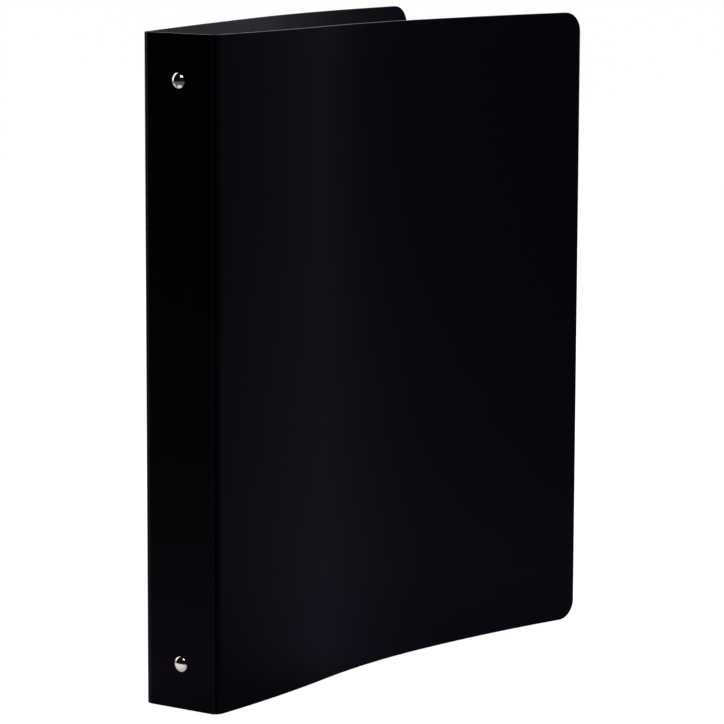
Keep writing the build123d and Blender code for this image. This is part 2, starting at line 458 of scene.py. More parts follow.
class MeshBench:
    """Collects the vertices and faces of one mesh."""

    def __init__(self) -> None:
        """Start an empty mesh."""
        self.points: list[Vector] = []
        self.faces: list[tuple[int, ...]] = []
        self.slots: list[int] = []

    def point(self, place: Vector) -> int:
        """Add a vertex and return its number."""
        self.points.append(place)
        return len(self.points) - 1

    def face(self, corners: Sequence[int], slot: int = 0) -> None:
        """Add a face in a material slot."""
        self.faces.append(tuple(corners))
        self.slots.append(slot)

    def strip(
        self, first: Sequence[int], second: Sequence[int], slot: int = 0, closed: bool = True
    ) -> None:
        """Join two rows of vertices with quads.

        Args:
            first: one row.
            second: the next row, as long as the first.
            slot: the faces' material slot.
            closed: whether the rows are loops.
        """
        count = len(first)
        for k in range(count if closed else count - 1):
            n = (k + 1) % count
            self.face((first[k], first[n], second[n], second[k]), slot)

    def build(
        self,
        name: str,
        materials: Sequence[bpy.types.Material],
        crease: float = math.radians(40),
    ) -> bpy.types.Object:
        """Make the object.

        Args:
            name: the piece's name.
            materials: its finishes, in slot order.
            crease: edges that turn by more than this stay sharp.

        Returns:
            The new object.
        """
        mesh = bpy.data.meshes.new(name)
        mesh.from_pydata([tuple(p) for p in self.points], [], self.faces)
        for material in materials:
            mesh.materials.append(material)
        mesh.polygons.foreach_set("material_index", self.slots)
        work = bmesh.new()
        work.from_mesh(mesh)
        bmesh.ops.remove_doubles(work, verts=work.verts, dist=1e-7)
        bmesh.ops.recalc_face_normals(work, faces=work.faces)
        work.to_mesh(mesh)
        work.free()
        mesh.polygons.foreach_set("use_smooth", [True] * len(mesh.polygons))
        mesh.set_sharp_from_angle(angle=crease)
        mesh.validate()
        piece = bpy.data.objects.new(name, mesh)
        bpy.context.scene.collection.objects.link(piece)
        return piece


@dataclass(frozen=True)
class SheetBlank:
    """A piece of sheet: where it reaches, how thick it is, and how it is bent into place.

    A point of the sheet has a distance along, a distance across and a depth from the middle of
    its thickness.
    """

    stations: Sequence[float]
    rows: Sequence[float]
    low: Reach
    high: Reach
    half: Reach
    place: Place
    edge: float = 0.2 * MM
    edge_slot: int = 1
    edge_steps: int = 4

    def add_to(self, bench: MeshBench) -> None:
        """Add both faces and the rounded rim.

        Args:
            bench: the mesh to add to.
        """
        grid: list[list[tuple[float, float]]] = []
        for along in self.stations:
            low, high = self.low(along), self.high(along)
            grid.append([(along, low + (high - low) * share) for share in self.rows])
        layers = []
        for sign in (1, -1):
            layers.append(
                [[bench.point(self.place(s, z, sign * self.half(s))) for s, z in column] for column in grid]
            )
        for i in range(len(grid) - 1):
            for j in range(len(self.rows) - 1):
                for layer in layers:
                    bench.face((layer[i][j], layer[i + 1][j], layer[i + 1][j + 1], layer[i][j + 1]))
        self._add_rim(bench, grid, layers)

    def _add_rim(
        self,
        bench: MeshBench,
        grid: Sequence[Sequence[tuple[float, float]]],
        layers: Sequence[Sequence[Sequence[int]]],
    ) -> None:
        """Close the sheet round its outline with a rounded edge."""
        last_column, last_row = len(grid) - 1, len(self.rows) - 1
        loop = [(i, 0) for i in range(last_column)]
        loop += [(last_column, j) for j in range(last_row)]
        loop += [(i, last_row) for i in range(last_column, 0, -1)]
        loop += [(0, j) for j in range(last_row, 0, -1)]
        outline = [Vector(grid[i][j]) for i, j in loop]
        count = len(loop)
        outs = []
        for k in range(count):
            before = (outline[k] - outline[k - 1]).normalized()
            after = (outline[(k + 1) % count] - outline[k]).normalized()
            mid = (before + after).normalized()
            stretch = 1.0 / max(0.5, mid.dot(after))
            outs.append(Vector((mid.y, -mid.x)) * stretch)
        rings = [[layers[0][i][j] for i, j in loop]]
        turns = [math.pi * k / (2 * self.edge_steps) for k in range(1, self.edge_steps + 1)]
        for sign, angles in ((1, turns), (-1, turns[::-1])):
            for angle in angles:
                ring = []
                for base, out in zip(outline, outs):
                    s, z = base + out * (self.edge * math.sin(angle))
                    depth = self.half(base.x) - self.edge * (1 - math.cos(angle))
                    ring.append(bench.point(self.place(s, z, sign * depth)))
                rings.append(ring)
        rings.append([layers[1][i][j] for i, j in loop])
        for first, second in zip(rings, rings[1:]):
            bench.strip(first, second, self.edge_slot)


def laid_along(line: BentLine) -> Place:
    """Placing that lays an upright flat sheet along a line.

    Args:
        line: where the middle of the sheet's thickness runs.

    Returns:
        A function from distance along, height and depth to the point.
    """

    def place(along: float, up: float, depth: float) -> Vector:
        """Give the point at a distance along, a height and a depth."""
        point, _, out = line.at(along)
        return point + out * depth + Vector((0.0, 0.0, up))

    return place


def even_rows(count: int, guard: float) -> list[float]:
    """Shares of a sheet's width: even, with a narrow strip beside each edge.

    Args:
        count: how many even strips.
        guard: the narrow strip's share.

    Returns:
        Rising shares from 0 to 1.
    """
    inner = [guard + (1 - 2 * guard) * k / count for k in range(count + 1)]
    return [0.0, *inner, 1.0]


def smooth_step(share: float) -> float:
    """Ease from 0 to 1."""
    held = min(1.0, max(0.0, share))
    return held * held * (3 - 2 * held)


def add_turned(
    bench: MeshBench,
    profile: Sequence[tuple[float, float]],
    origin: Vector,
    axis: Vector,
    segments: int = 48,
    closed: bool = False,
) -> None:
    """Add a turned shape.

    Args:
        bench: the mesh to add to.
        profile: (radius, height) points. A radius of 0 closes that end.
        origin: where height is 0.
        axis: the way that height rises.
        segments: how many steps round.
        closed: whether the profile is a loop, as for a tube.
    """
    up = axis.normalized()
    side = up.orthogonal().normalized()
    other = up.cross(side)
    rings: list[list[int]] = []
    for radius, height in profile:
        centre = origin + up * height
        if radius < 1e-9:
            rings.append([bench.point(centre)] * segments)
            continue
        ring = []
        for k in range(segments):
            angle = 2 * math.pi * k / segments
            spoke = side * math.cos(angle) + other * math.sin(angle)
            ring.append(bench.point(centre + spoke * radius))
        rings.append(ring)
    pairs = list(zip(rings, rings[1:]))
    if closed:
        pairs.append((rings[-1], rings[0]))
    for first, second in pairs:
        for k in range(segments):
            n = (k + 1) % segments
            corners = list(dict.fromkeys((first[k], first[n], second[n], second[k])))
            bench.face(corners)


def arc_points(
    centre: tuple[float, float],
    radius: tuple[float, float],
    angles: tuple[float, float],
    steps: int,
) -> list[tuple[float, float]]:
    """Points on an elliptical arc.

    Args:
        centre: the arc's centre.
        radius: its two half axes.
        angles: its first and last angle, in degrees.
        steps: how many steps.

    Returns:
        The points, both ends included.
    """
    found = []
    for k in range(steps + 1):
        angle = math.radians(angles[0] + (angles[1] - angles[0]) * k / steps)
        found.append((centre[0] + radius[0] * math.cos(angle), centre[1] + radius[1] * math.sin(angle)))
    return found


def dress(node: str, material: bpy.types.Material) -> None:
    """Give a CAD node that stays in view its finish.

    Args:
        node: the node's name.
        material: its finish.
    """
    mesh = frame["nodes"][node].data
    mesh.materials.clear()
    mesh.materials.append(material)
    LOG.info("dressed %s", node)


def seat(piece: bpy.types.Object, body: str, slot: str, *nodes: str) -> None:
    """Fix a finished piece to its body, and let it stand for its CAD nodes.

    Args:
        piece: the piece.
        body: the body that it moves with.
        slot: the record's material slot. Not used.
        nodes: the CAD nodes that it replaces.
    """
    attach(piece, body)
    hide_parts(*nodes)
    LOG.info("made %s with %d faces on %s", piece.name, len(piece.data.polygons), body)


# ---------------------------------------------------------------------------------------------
# The cover sheet
# ---------------------------------------------------------------------------------------------


@dataclass(frozen=True)
class CoverSheet:
    """The one sheet that makes the spine and both covers, with its two pressed creases."""

    finishes: FinishSet
    spine_width: float = 38.1 * MM
    thickness: float = 1.1 * MM
    reach: float = 254.0 * MM
    corner: float = 9.0 * MM
    web: float = 0.5 * MM
    web_length: float = 2.6 * MM
    shoulder: float = 0.9 * MM
    front_lean: float = math.radians(3.1)
    back_lean: float = math.radians(15.2)
    front_bends: tuple[tuple[float, float], ...] = ((0.31, -7.6), (0.28, 12.2), (0.41, 9.5))
    back_bends: tuple[tuple[float, float], ...] = ((0.472, -3.4), (0.528, -16.4))
    cut: float = 0.22 * MM
    guard: float = 0.5 * MM

    @property
    def height(self) -> float:
        """The sheet's height, from the frame."""
        low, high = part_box("spine_panel")
        return high.z - low.z

    @property
    def web_start(self) -> float:
        """How far from the middle of the spine each web begins."""
        return self.spine_width / 2 - self.web_length / math.radians(90)

    def lean(self, side: Side) -> float:
        """How far a cover leans outwards where it starts."""
        return self.front_lean if side is Side.FRONT else self.back_lean

    def web_line(self, side: Side) -> BentLine:
        """The middle of a living hinge, from the spine to the cover."""
        quarter = math.radians(90)
        turn = self.lean(side) - quarter
        return BentLine((self.web_start, 0.0), quarter, ((self.web_length, turn),), side)

    def cover_line(self, side: Side) -> BentLine:
        """The middle of a cover's thickness, from its hinge to its fore edge."""
        web = self.web_line(side)
        root = web.at(web.length)[0]
        shares = self.front_bends if side is Side.FRONT else self.back_bends
        bends = tuple((share * self.reach, math.radians(turn)) for share, turn in shares)
        return BentLine((abs(root.x), root.y), self.lean(side), bends, side)

    def half_depth(self, from_web: float) -> float:
        """Half the sheet's thickness, which swells from the web to full over a pressed shoulder."""
        full, thin = self.thickness / 2, self.web / 2
        return thin + (full - thin) * math.sin(math.pi / 2 * min(1.0, max(0.0, from_web / self.shoulder)))

    def shoulder_stations(self) -> list[float]:
        """Close-set distances over a pressed shoulder, from the web."""
        steps = 7
        return [self.cut + (self.shoulder - self.cut) * k / steps for k in range(steps)] + [self.shoulder]

    def rows(self) -> list[float]:
        """Shares of the height at which the sheet has rows."""
        return even_rows(56, self.guard / self.height)

    def make_cover(self, side: Side) -> bpy.types.Object:
        """Make one cover, with its two fore-edge corners rounded.

        Args:
            side: front or back.

        Returns:
            The cover.
        """
        line = self.cover_line(side)
        rim = self.corner - self.cut
        corner_start = self.reach - self.corner
        top = self.height - self.cut
        body = self.shoulder_stations()
        count = 60
        begin, finish = 2 * self.shoulder, corner_start
        body += [begin + (finish - begin) * k / count for k in range(count)]
        turn_steps = 14
        body += [corner_start + rim * math.sin(math.pi / 2 * k / turn_steps) for k in range(turn_steps + 1)]

        def drop(along: float) -> float:
            """Give how far the edge has drawn in at a station."""
            inside = min(rim, max(0.0, along - corner_start))
            return rim - math.sqrt(max(0.0, rim * rim - inside * inside))

        blank = SheetBlank(
            stations=body,
            rows=self.rows(),
            low=lambda along: self.cut + drop(along),
            high=lambda along: top - drop(along),
            half=self.half_depth,
            place=laid_along(line),
            edge=self.cut,
        )
        bench = MeshBench()
        blank.add_to(bench)
        name = f"{side.name.lower()}_cover"
        piece = bench.build(f"{name}_sheet", [self.finishes.sheet, self.finishes.cut_edge])
        seat(piece, name, "cover_sheet", name)
        return piece

    def make_spine(self) -> bpy.types.Object:
        """Make the flat spine, pressed thin at both edges.

        Returns:
            The spine.
        """
        width = 2 * self.web_start
        line = BentLine((-self.web_start, 0.0), math.radians(90), ((width, 0.0),))
        near = self.shoulder_stations()
        count = 24
        begin, finish = 2 * self.shoulder, width - 2 * self.shoulder
        middle = [begin + (finish - begin) * k / count for k in range(count + 1)]
        blank = SheetBlank(
            stations=near + middle + [width - s for s in reversed(near)],
            rows=self.rows(),
            low=lambda along: self.cut,
            high=lambda along: self.height - self.cut,
            half=lambda along: self.half_depth(min(along, width - along)),
            place=laid_along(line),
            edge=self.cut,
        )
        bench = MeshBench()
        blank.add_to(bench)
        piece = bench.build("spine_sheet", [self.finishes.sheet, self.finishes.cut_edge])
        seat(piece, "spine", "cover_sheet", "spine_panel")
        return piece

    def make_web(self, side: Side) -> bpy.types.Object:
        """Make one living hinge, curved round between the spine and its cover.

        Args:
            side: front or back.

        Returns:
            The hinge.
        """
        line = self.web_line(side)
        tuck = self.cut + 0.1 * MM
        count = 14
        span = line.length + 2 * tuck
        blank = SheetBlank(
            stations=[span * k / count - tuck for k in range(count + 1)],
            rows=self.rows(),
            low=lambda along: self.cut,
            high=lambda along: self.height - self.cut,
            half=lambda along: self.web / 2,
            place=laid_along(line),
            edge=0.12 * MM,
        )
        bench = MeshBench()
        blank.add_to(bench)
        name = side.name.lower()
        piece = bench.build(f"{name}_crease", [self.finishes.sheet, self.finishes.cut_edge])
        start, end = line.at(0.0)[0], line.at(line.length)[0]
        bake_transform(piece)
        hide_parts(f"{name}_living_hinge")
        LOG.info("made %s with %d faces across the crease", piece.name, len(piece.data.polygons))
        return piece

    def make(self) -> None:
        """Make the spine, both covers and both living hinges."""
        self.make_spine()
        for side in Side:
            self.make_cover(side)
            self.make_web(side)


# ---------------------------------------------------------------------------------------------
# The ring mechanism
# ---------------------------------------------------------------------------------------------


@dataclass(frozen=True)
class HalfRing:
    """Half of a ring: bowed wire, cranked at its foot, necked and staked through its blade."""

    finishes: FinishSet
    side: Side
    level: Level
    radius: float = 12.7 * MM
    centre: float = 17.0 * MM
    sweep: float = math.radians(156)
    wire: float = 3.0 * MM
    tip_gap: float = 0.05 * MM
    crank: float = 1.8 * MM
    tilt: float = math.radians(6)
    blade_pivot: tuple[float, float] = (6.75 * MM, 3.2 * MM)
    blade: float = 0.9 * MM
    neck: float = 2.0 * MM
    stake: float = 2.8 * MM
    stake_height: float = 0.45 * MM
    nose: float = 0.8 * MM

    @property
    def node(self) -> str:
        """The CAD node that this half ring stands for."""
        return f"{self.level.value}_{self.side.name.lower()}_half_ring"

    def line(self) -> BentLine:
        """The wire's middle line, from its tip to the top of the blade."""
        start = (self.tip_gap, self.centre + self.radius)
        turn = self.sweep - math.radians(90) + self.tilt
        bends = ((self.radius * self.sweep, self.sweep), (self.crank * turn, -turn))
        bowed = BentLine(start, math.radians(90), bends)
        foot = bowed.at(bowed.length)[0]
        up = Vector((-math.sin(self.tilt), math.cos(self.tilt), 0.0))
        drop = (foot - Vector((*self.blade_pivot, 0.0))).dot(up) - self.blade / 2
        return BentLine(start, math.radians(90), (*bends, (drop, 0.0)), self.side)

    def profile(self, length: float) -> list[tuple[float, float]]:
        """The wire's (distance, radius) steps, from its tip to its stake."""
        full, break_edge = self.wire / 2, 0.15 * MM
        if self.side is Side.FRONT:
            tip = [(-self.nose, 0.0), (-self.nose, 0.42 * MM)]
            tip += [(-self.nose + 0.15 * MM, 0.56 * MM), (0.0, 0.72 * MM)]
        else:
            tip = [(self.nose + 0.1 * MM, 0.0), (self.nose + 0.1 * MM, 0.62 * MM), (0.0, 0.86 * MM)]
        tip += [(0.0, full - break_edge), (0.3 * break_edge, full - 0.4 * break_edge), (break_edge, full)]
        count = 72
        shaft = [(break_edge + (length - break_edge) * k / count, full) for k in range(1, count)]
        foot = [(length - 0.1 * MM, full), (length, full - 0.1 * MM), (length, self.neck / 2)]
        below = length + self.blade
        stake = self.stake / 2
        foot += [(below, self.neck / 2), (below, stake), (below + 0.25 * MM, stake)]
        foot += [(below + self.stake_height, 0.75 * stake), (below + self.stake_height, 0.0)]
        return tip + shaft + foot

    def make(self) -> bpy.types.Object:
        """Make the half ring.

        Returns:
            The half ring.
        """
        line = self.line()
        low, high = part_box(self.node)
        height = Vector((0.0, 0.0, (low.z + high.z) / 2))
        bench = MeshBench()
        segments = 28
        rings: list[list[int]] = []
        for distance, radius in self.profile(line.length):
            point, _, out = line.at(distance)
            if radius < 1e-9:
                rings.append([bench.point(point + height)] * segments)
                continue
            ring = []
            for k in range(segments):
                angle = 2 * math.pi * k / segments
                offset = out * (radius * math.cos(angle)) + Vector((0.0, 0.0, radius * math.sin(angle)))
                ring.append(bench.point(point + height + offset))
            rings.append(ring)
        for first, second in zip(rings, rings[1:]):
            for k in range(segments):
                n = (k + 1) % segments
                bench.face(list(dict.fromkeys((first[k], first[n], second[n], second[k]))))
        piece = bench.build(f"{self.node}_wire", [self.finishes.plate])
        seat(piece, f"{self.side.name.lower()}_rings", "nickel_plate", self.node)
        return piece


@dataclass(frozen=True)
class Housing:
    """The sprung channel over the blades, with curled lips, ring slots and pin ears."""

    finishes: FinishSet
    sheet: float = 0.7 * MM
    side: float = 7.65 * MM
    shoulder: float = 5.0 * MM
    top: float = 6.2 * MM
    flat: float = 3.6 * MM
    lip_height: float = 2.1 * MM
    lip_end: float = 6.0 * MM
    lip_radius: float = 0.65 * MM
    shoulder_radius: float = 2.0 * MM
    crown_radius: float = 4.0 * MM
    ear_length: float = 3.6 * MM
    ear_foot: float = 0.85 * MM
    slot_inner: float = 2.9 * MM
    slot_outer: float = 9.0 * MM
    slot_floor: float = 4.2 * MM
    slot_width: float = 3.8 * MM
    slot_corner: float = 0.9 * MM
    edge: float = 0.12 * MM

    def half_section(self) -> tuple[tuple[tuple[float, float], ...], float]:
        """The bends of the front half of the section, from the lip's end to the middle of the top.

        Returns:
            The bends, and the distance at which the lip ends and the upright side begins.
        """
        slope = math.atan2(self.top - self.shoulder, self.side - self.flat)
        quarter = math.radians(90)
        shoulder_turn = quarter - slope
        shoulder_cut = self.shoulder_radius * math.tan(shoulder_turn / 2)
        crown_cut = self.crown_radius * math.tan(slope / 2)
        lip_run = self.side - self.lip_end - self.lip_radius
        rise = self.shoulder - self.lip_height - self.lip_radius - shoulder_cut
        slant = math.hypot(self.top - self.shoulder, self.side - self.flat) - shoulder_cut - crown_cut
        bends = (
            (lip_run, 0.0),
            (self.lip_radius * quarter, -quarter),
            (rise, 0.0),
            (self.shoulder_radius * shoulder_turn, -shoulder_turn),
            (slant, 0.0),
            (self.crown_radius * slope, -slope),
            (self.flat - crown_cut, 0.0),
        )
        return bends, lip_run + self.lip_radius * quarter

    def channel(self, bench: MeshBench, low: float, high: float) -> None:
        """Add the channel, whose lips stop short of its ends.

        Args:
            bench: the mesh to add to.
            low: the channel's lower end.
            high: its upper end.
        """
        half, lip = self.half_section()
        line = BentLine((self.lip_end, self.lip_height), math.radians(90), half + half[::-1])
        total = line.length
        marks: list[float] = [0.0]
        reached = 0.0
        for length, turn in line.bends:
            count = max(2, math.ceil(abs(turn) / math.radians(9)))
            marks += [reached + length * (k + 1) / count for k in range(count)]
            reached += length
        inset = [min(max(m, self.edge), total - self.edge) for m in marks]

        def stop(along: float) -> float:
            """Give how far the lip stops short of the full length at a station."""
            past = min(along, total - along)
            return self.ear_length * (1.0 - smooth_step((past - lip) / (0.35 * MM)))

        count = 90
        guard = 0.3 * MM / (high - low)
        blank = SheetBlank(
            stations=inset,
            rows=even_rows(count, guard),
            low=lambda along: low + self.edge + stop(along),
            high=lambda along: high - self.edge - stop(along),
            half=lambda along: self.sheet / 2,
            place=laid_along(line),
            edge=self.edge,
            edge_slot=0,
            edge_steps=2,
        )
        blank.add_to(bench)

    def ear(self, bench: MeshBench, sign: int, low: float) -> None:
        """Add one pin ear: a short plate that carries the side down past the pin.

        Args:
            bench: the mesh to add to.
            sign: 1 on the front side, -1 on the back.
            low: the ear's lower end.
        """
        tuck = 0.4 * MM
        top = self.lip_height + self.lip_radius + tuck
        line = BentLine((self.side, top), math.radians(180), ((top - self.ear_foot, 0.0),))
        reach = line.length - self.edge
        nose = 1.0 * MM

        def drop(along: float) -> float:
            """Give how far the edge has drawn in at a station."""
            inside = max(0.0, along - (reach - nose))
            return nose - math.sqrt(max(0.0, nose * nose - inside * inside))

        count = 12
        blank = SheetBlank(
            stations=[reach * math.sin(math.pi / 2 * k / count) for k in range(count + 1)],
            rows=even_rows(6, 0.08),
            low=lambda along: low + self.edge + drop(along),
            high=lambda along: low + self.ear_length - self.edge - drop(along),
            half=lambda along: self.sheet / 2,
            place=lambda s, z, d: Vector((sign * (self.side - d), top - s, z)),
            edge=self.edge,
            edge_slot=0,
            edge_steps=2,
        )
        blank.add_to(bench)

    def slot_cutter(self, sign: int, height: float) -> bpy.types.Object:
        """Make the tool that cuts one ring slot.

        Args:
            sign: 1 for the front side, -1 for the back.
            height: the ring's height.

        Returns:
            The cutting tool.
        """
        bench = MeshBench()
        half, corner = self.slot_width / 2, self.slot_corner
        outline: list[tuple[float, float]] = [(self.slot_outer, -half)]
        for up, angles in ((-half + corner, (270.0, 180.0)), (half - corner, (180.0, 90.0))):
            outline += arc_points((self.slot_inner + corner, up), (corner, corner), angles, 6)
        outline.append((self.slot_outer, half))
        rows = []
        for depth in (self.slot_floor, 2 * self.top):
            rows.append([bench.point(Vector((sign * x, depth, height + z))) for x, z in outline])
        bench.strip(rows[0], rows[1])
        bench.face(rows[0])
        bench.face(rows[1][::-1])
        return bench.build("slot_cutter", [])

    def make(self) -> bpy.types.Object:
        """Make the housing.

        Returns:
            The housing.
        """
        low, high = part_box("ring_housing")
        bench = MeshBench()
        self.channel(bench, low.z, high.z)
        piece = bench.build("ring_housing_channel", [self.finishes.plate])
        for level in Level:
            ring_low, ring_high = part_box(f"{level.value}_front_half_ring")
            for sign in (1, -1):
                cutter = self.slot_cutter(sign, (ring_low.z + ring_high.z) / 2)
                cut = piece.modifiers.new("slot", "BOOLEAN")
                cut.operation = "DIFFERENCE"
                cut.solver = "EXACT"
                cut.object = cutter
        shaped = bpy.data.meshes.new_from_object(piece.evaluated_get(bpy.context.evaluated_depsgraph_get()))
        piece.modifiers.clear()
        piece.data = shaped
        for tool in [o for o in bpy.data.objects if o.name.startswith("slot_cutter")]:
            bpy.data.objects.remove(tool)
        shaped.set_sharp_from_angle(angle=math.radians(40))
        seat(piece, "spine", "nickel_plate", "ring_housing")
        ears = MeshBench()
        for sign in (1, -1):
            for start in (low.z, high.z - self.ear_length):
                self.ear(ears, sign, start)
        ear_piece = ears.build("housing_pin_ears", [self.finishes.plate])
        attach(ear_piece, "spine")
        return piece


@dataclass(frozen=True)
class Trigger:
    """A lever at one end: rolled barrel on its pin, dished thumb plate and a tongue under the blades."""

    finishes: FinishSet
    end: End
    barrel: float = 1.4 * MM
    bore: float = 0.85 * MM
    half_width: float = 6.7 * MM
    plate: float = 1.0 * MM
    run: float = 2.9 * MM
    rise: float = 7.7 * MM
    reach: float = 5.6 * MM
    bend: float = 1.4 * MM
    thumb_corner: float = 2.2 * MM
    dish: float = 0.45 * MM
    tongue_length: float = 5.3 * MM
    tongue_plate: float = 0.8 * MM
    tongue_top: float = 1.95 * MM
    tongue_half_width: float = 1.6 * MM
    edge: float = 0.15 * MM

    @property
    def outward(self) -> int:
        """The sign of Z that points out of this end of the binder."""
        return -1 if self.end is End.LOWER else 1

    def pivot(self) -> Vector:
        """The middle of the pin, from the frame."""
        low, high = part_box(f"{self.end.value}_trigger_pin")
        return (low + high) / 2

    def thumb_line(self) -> BentLine:
        """The thumb plate's section from the pin: distance out as +Y of the line, height as +X."""
        slant = math.atan2(self.rise, self.reach - self.run)
        cut = self.bend * math.tan(slant / 2)
        far = math.hypot(self.rise, self.reach - self.run) - cut
        return BentLine((0.0, 0.0), 0.0, ((self.run - cut, 0.0), (self.bend * slant, slant), (far, 0.0)))

    def make(self) -> bpy.types.Object:
        """Make the trigger.

        Returns:
            The trigger.
        """
        pivot = self.pivot()
        line = self.thumb_line()
        length = line.length - self.edge
        rim = self.thumb_corner - self.edge
        start = length - rim
        bent_end = self.run + 1.2 * MM

        def drop(along: float) -> float:
            """Give how far the edge has drawn in at a station."""
            inside = min(rim, max(0.0, along - start))
            return rim - math.sqrt(max(0.0, rim * rim - inside * inside))

        def place(along: float, across: float, depth: float) -> Vector:
            """Give the point at a station, a place across and a depth."""
            point, _, out = line.at(along)
            share = smooth_step((along - bent_end) / (0.5 * length))
            hollow = self.dish * share * (1 - (across / self.half_width) ** 2)
            spot = point + out * (depth + hollow)
            return pivot + Vector((across, spot.x, self.outward * spot.y))

        even = [start * k / 22 for k in range(22)]
        rounded = [start + rim * math.sin(math.pi / 2 * k / 10) for k in range(11)]
        bench = MeshBench()
        SheetBlank(
            stations=even + rounded,
            rows=even_rows(18, 0.02),
            low=lambda along: -self.half_width + self.edge + drop(along),
            high=lambda along: self.half_width - self.edge - drop(along),
            half=lambda along: self.plate / 2,
            place=place,
            edge=self.edge,
            edge_slot=0,
        ).add_to(bench)
        self.tongue(bench, pivot)
        wide, chamfer = self.half_width, self.edge
        tube = [(self.bore, -wide), (self.barrel - chamfer, -wide), (self.barrel, -wide + chamfer)]
        tube += [(self.barrel, wide - chamfer), (self.barrel - chamfer, wide), (self.bore, wide)]
        add_turned(bench, tube, pivot, Vector((1.0, 0.0, 0.0)), 36, closed=True)
        name = f"{self.end.value}_trigger"
        piece = bench.build(f"{name}_lever", [self.finishes.plate])
        seat(piece, name, "nickel_plate", name)
        return piece

    def tongue(self, bench: MeshBench, pivot: Vector) -> None:
        """Add the narrow tongue that lifts the blades.

        Args:
            bench: the mesh to add to.
            pivot: the middle of the pin.
        """
        middle = self.tongue_top - self.tongue_plate / 2
        length = self.tongue_length - self.edge
        rim = self.tongue_half_width - self.edge
        start = length - rim
        root = self.bore + 0.25 * MM

        def drop(along: float) -> float:
            """Give how far the edge has drawn in at a station."""
            inside = min(rim, max(0.0, along - start))
            return 0.6 * (rim - math.sqrt(max(0.0, rim * rim - inside * inside)))

        def place(along: float, across: float, depth: float) -> Vector:
            """Give the point at a station, a place across and a depth."""
            return Vector((across, middle + depth, pivot.z - self.outward * along))

        stations = [root + (start - root) * k / 4 for k in range(4)]
        stations += [start + rim * math.sin(math.pi / 2 * k / 8) for k in range(9)]
        SheetBlank(
            stations=stations,
            rows=even_rows(8, 0.05),
            low=lambda along: -rim + drop(along),
            high=lambda along: rim - drop(along),
            half=lambda along: self.tongue_plate / 2,
            place=place,
            edge=self.edge,
            edge_slot=0,
        ).add_to(bench)


@dataclass(frozen=True)
class TriggerPin:
    """A pin through the housing's ears, with both ends peened over."""

    finishes: FinishSet
    end: End
    radius: float = 0.8 * MM
    head: float = 1.15 * MM
    head_depth: float = 0.3 * MM

    def make(self) -> bpy.types.Object:
        """Make the pin.

        Returns:
            The pin.
        """
        node = f"{self.end.value}_trigger_pin"
        low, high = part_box(node)
        middle = (low + high) / 2
        half = (high.x - low.x) / 2
        neck = half - self.head_depth
        head = [(self.radius, neck), (self.head, neck)]
        rim = 0.06 * MM
        head += arc_points((0.0, neck + rim), (self.head, self.head_depth - rim), (0.0, 84.0), 6)
        head.append((0.0, half))
        tail = [(radius, -height) for radius, height in reversed(head)]
        bench = MeshBench()
        add_turned(bench, tail + head, middle, Vector((1.0, 0.0, 0.0)), 32)
        piece = bench.build(f"{node}_peened", [self.finishes.steel])
        seat(piece, "spine", "blade_steel", node)
        return piece


@dataclass(frozen=True)
class Rivet:
    """A tubular rivet: polished dome outside the spine, rolled tail on the housing."""

    finishes: FinishSet
    node: str
    head: float = 3.5 * MM
    head_height: float = 1.8 * MM
    rim: float = 0.35 * MM
    shank: float = 2.0 * MM
    bore: float = 1.2 * MM
    tail: float = 2.9 * MM
    tail_height: float = 0.8 * MM
    panel: float = 0.55 * MM
    roof: float = 6.55 * MM

    def profile(self) -> list[tuple[float, float]]:
        """The rivet's (radius, height) outline, with height along +Y."""
        face = -self.panel
        dome = [(0.0, face - self.head_height)]
        rise = self.head_height - self.rim
        ball = (self.head**2 + rise**2) / (2 * rise)
        spread = math.degrees(math.asin(self.head / ball))
        crown = (ball, ball)
        dome += arc_points((0.0, face - self.head_height + ball), crown, (3 - 90.0, spread - 92.0), 24)
        rim = (self.head - 0.1 * MM, face - self.rim / 2)
        dome += arc_points(rim, (0.1 * MM, self.rim / 2), (-50.0, 60.0), 6)
        dome += [(self.head - 0.25 * MM, face), (self.shank, face), (self.shank, self.roof)]
        roll = (self.tail + self.bore) / 2
        reach = (self.tail - self.bore) / 2
        belly = 0.28 * MM
        crest = self.tail_height - belly
        dome += [(roll, self.roof)]
        dome += arc_points((roll, self.roof + belly), (reach, belly), (-80.0, 0.0), 6)
        dome += arc_points((roll, self.roof + belly), (reach, crest), (8.0, 180.0), 14)
        dome += [(self.bore, self.panel + 0.3 * MM), (self.bore - 0.3 * MM, self.panel), (0.0, self.panel)]
        return dome

    def make(self) -> bpy.types.Object:
        """Make the rivet.

        Returns:
            The rivet.
        """
        low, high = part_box(self.node)
        origin = Vector(((low.x + high.x) / 2, 0.0, (low.z + high.z) / 2))
        bench = MeshBench()
        add_turned(bench, self.profile(), origin, Vector((0.0, 1.0, 0.0)), 72)
        piece = bench.build(f"{self.node}_domed", [self.finishes.rivet], crease=math.radians(50))
        seat(piece, "spine", "polished_rivet", self.node)
        return piece


@dataclass(frozen=True)
class Mechanism:
    """Everything that is riveted to the inside of the spine."""

    finishes: FinishSet

    def make(self) -> None:
        """Make the housing, rings, triggers, pins and rivets, and dress the blades and posts."""
        Housing(self.finishes).make()
        for level in Level:
            for side in Side:
                HalfRing(self.finishes, side, level).make()
        for end in End:
            Trigger(self.finishes, end).make()
            TriggerPin(self.finishes, end).make()
        for node in ("bottom_rivet", "top_rivet"):
            Rivet(self.finishes, node).make()
        for node in ("front_blade", "back_blade", "bottom_rivet_post", "top_rivet_post"):
            dress(node, self.finishes.steel)


# ---------------------------------------------------------------------------------------------
# The studio
# ---------------------------------------------------------------------------------------------


